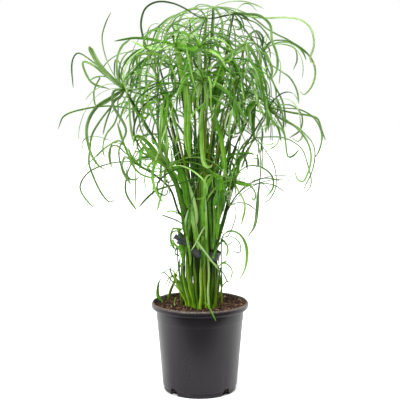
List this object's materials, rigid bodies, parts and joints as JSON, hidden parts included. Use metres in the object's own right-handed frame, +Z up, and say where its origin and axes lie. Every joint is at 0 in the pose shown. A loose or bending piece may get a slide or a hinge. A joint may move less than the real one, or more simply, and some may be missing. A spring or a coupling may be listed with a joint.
{
  "type": "potted papyrus plant",
  "caption": "Umbrella papyrus in a plain round nursery pot: upright three-sided culms held by a band, each topped with long arching ribbon leaves, rooted in peat.",
  "frame": {"origin": "middle of the pot's foot, on the surface it stands on", "axes": "+Z up along the pot, -Y towards the front that the picture shows, +X to its right"},
  "size_m": [0.4526, 0.4321, 0.6798],
  "materials": {
    "pot_plastic": "black moulded plastic with a low sheen",
    "peat": "loose brown peat with fibres and dark clods",
    "tie_rubber": "soft dark garden tie",
    "leaf": "satin green leaf with fine lengthways veins"
  },
  "bodies": {
    "root": {"leaf_over_rim": "leaf", "pot": "pot_plastic", "shoot_back": "leaf", "shoot_back_left": "leaf", "shoot_back_left_low": "leaf", "shoot_back_low": "leaf", "shoot_back_right": "leaf", "shoot_back_right_low": "leaf", "shoot_back_top": "leaf", "shoot_centre": "leaf", "shoot_centre_low": "leaf", "shoot_foot_left": "leaf", "shoot_foot_right": "leaf", "shoot_front": "leaf", "shoot_front_left": "leaf", "shoot_front_low": "leaf", "shoot_left": "leaf", "shoot_left_edge": "leaf", "shoot_left_far": "leaf", "shoot_left_inner": "leaf", "shoot_left_low": "leaf", "shoot_left_middle": "leaf", "shoot_left_thin": "leaf", "shoot_middle": "leaf", "shoot_right": "leaf", "shoot_right_centre": "leaf", "shoot_right_edge": "leaf", "shoot_right_far": "leaf", "shoot_right_high": "leaf", "shoot_right_inner": "leaf", "shoot_right_inner_low": "leaf", "shoot_right_low": "leaf", "shoot_right_middle": "leaf", "shoot_right_small": "leaf", "shoot_top": "leaf", "shoot_top_front": "leaf", "shoot_top_left": "leaf", "shoot_top_right": "leaf", "shoot_young_left": "leaf", "soil": "peat", "sprout_at_rim": "leaf", "tie_band": "tie_rubber"}
  },
  "joints": []
}
